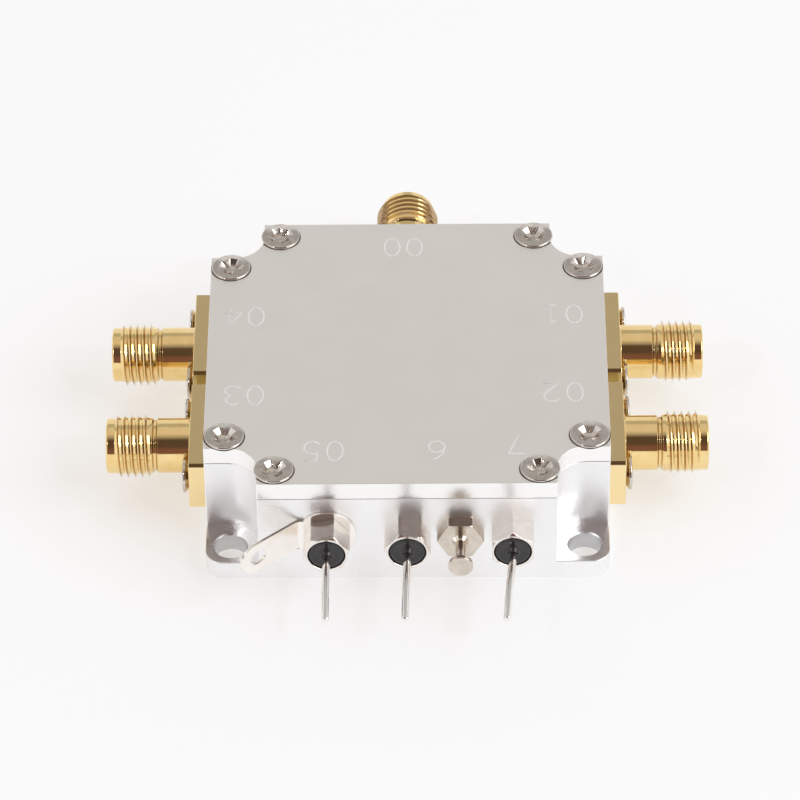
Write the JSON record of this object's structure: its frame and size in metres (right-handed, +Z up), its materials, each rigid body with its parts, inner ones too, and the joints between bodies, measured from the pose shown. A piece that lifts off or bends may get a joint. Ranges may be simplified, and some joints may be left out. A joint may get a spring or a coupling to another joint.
{
  "type": "coaxial rf switch module",
  "caption": "Flat square metal electronic RF switch module with threaded coaxial jacks on its sides and rear, sealed pin terminals, a ground post and corner mounting ears.",
  "frame": {"origin": "centre of the base, on the surface that the module is mounted on", "axes": "+Z up through the cover, +Y towards the rear jack, -Y towards the terminals, +X to the right seen from the terminals"},
  "size_m": [0.06, 0.0625, 0.0128],
  "materials": {
    "milled_aluminium": "milled, chemically treated, satin",
    "cover_aluminium": "fine blasted, warm grey",
    "screw_steel": "nickel, bright",
    "gold_plate": "gold plated, polished",
    "white_insulator": "smooth fluoropolymer",
    "nickel_plate": "bright nickel",
    "black_epoxy": "glossy cast epoxy",
    "tinned_pin": "bright tin",
    "tinned_lug": "tinned brass sheet",
    "board_laminate": "solder resist over glass laminate",
    "track_copper": "gold over copper",
    "chip_black": "moulded package",
    "capacitor_ceramic": "ceramic with tinned ends",
    "resistor_black": "glazed top with tinned ends"
  },
  "bodies": {
    "housing": {"housing": "milled_aluminium", "left_front_jack_shell": "gold_plate", "left_rear_jack_shell": "gold_plate", "rear_jack_shell": "gold_plate", "right_rear_jack_shell": "gold_plate", "right_front_jack_shell": "gold_plate", "left_front_jack_insulator": "white_insulator", "left_rear_jack_insulator": "white_insulator", "rear_jack_insulator": "white_insulator", "right_rear_jack_insulator": "white_insulator", "right_front_jack_insulator": "white_insulator", "left_front_jack_contact": "gold_plate", "left_rear_jack_contact": "gold_plate", "rear_jack_contact": "gold_plate", "right_rear_jack_contact": "gold_plate", "right_front_jack_contact": "gold_plate", "left_front_jack_screws": "screw_steel", "left_rear_jack_screws": "screw_steel", "rear_jack_screws": "screw_steel", "right_rear_jack_screws": "screw_steel", "right_front_jack_screws": "screw_steel", "supply_terminal_body": "nickel_plate", "control_1_terminal_body": "nickel_plate", "control_2_terminal_body": "nickel_plate", "supply_terminal_seal": "black_epoxy", "control_1_terminal_seal": "black_epoxy", "control_2_terminal_seal": "black_epoxy", "supply_terminal_pin": "tinned_pin", "control_1_terminal_pin": "tinned_pin", "control_2_terminal_pin": "tinned_pin", "ground_post": "nickel_plate", "circuit_board": "board_laminate", "board_tracks": "track_copper", "board_screws": "screw_steel", "switch_chip": "chip_black", "driver_chip": "chip_black", "chip_capacitors": "capacitor_ceramic", "chip_resistors": "resistor_black"},
    "cover": {"cover": "cover_aluminium"},
    "cover_screws": {"cover_screw_1": "screw_steel", "cover_screw_2": "screw_steel", "cover_screw_3": "screw_steel", "cover_screw_4": "screw_steel", "cover_screw_5": "screw_steel", "cover_screw_6": "screw_steel", "cover_screw_7": "screw_steel", "cover_screw_8": "screw_steel"},
    "solder_lug": {"solder_lug": "tinned_lug"}
  },
  "joints": [
    {"name": "cover_lift", "type": "slide", "parent": "housing", "child": "cover", "axis": [0, 0, 1], "range_m": [0, 0.015]},
    {"name": "screws_withdraw", "type": "slide", "parent": "cover", "child": "cover_screws", "axis": [0, 0, 1], "range_m": [0, 0.007]},
    {"name": "lug_swivel", "type": "hinge", "parent": "housing", "child": "solder_lug", "pos_m": [-0.0079, -0.02018, 0.00602], "axis": [0, 1, 0], "range_deg": [-28, 92]}
  ]
}
